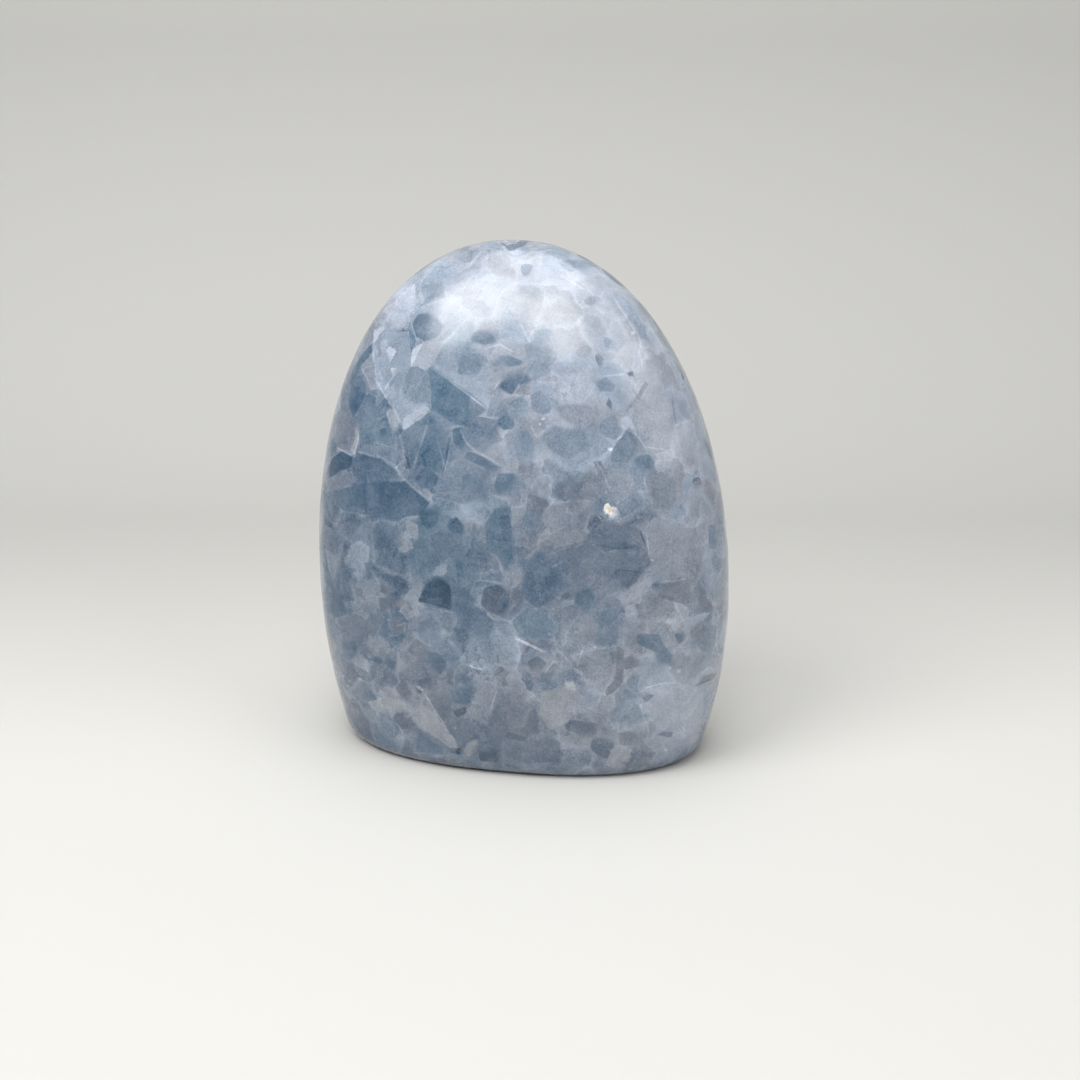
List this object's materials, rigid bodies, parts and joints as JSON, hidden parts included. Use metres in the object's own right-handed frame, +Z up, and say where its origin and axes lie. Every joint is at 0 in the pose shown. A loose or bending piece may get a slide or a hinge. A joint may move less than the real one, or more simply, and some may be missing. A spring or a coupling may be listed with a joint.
{
  "type": "blue calcite freeform",
  "caption": "Upright egg-shaped polished blue calcite stone, slim front to back, standing on a flat ground foot with a rounded edge.",
  "frame": {"origin": "bottom centre of the stone's box, on the ground flat", "axes": "+Z up along the stone's height, +X across its width, -Y towards the front face"},
  "size_m": [0.0818, 0.0452, 0.1002],
  "materials": {
    "calcite": "polished, translucent"
  },
  "bodies": {
    "root": {"calcite_freeform": "calcite"}
  },
  "joints": []
}
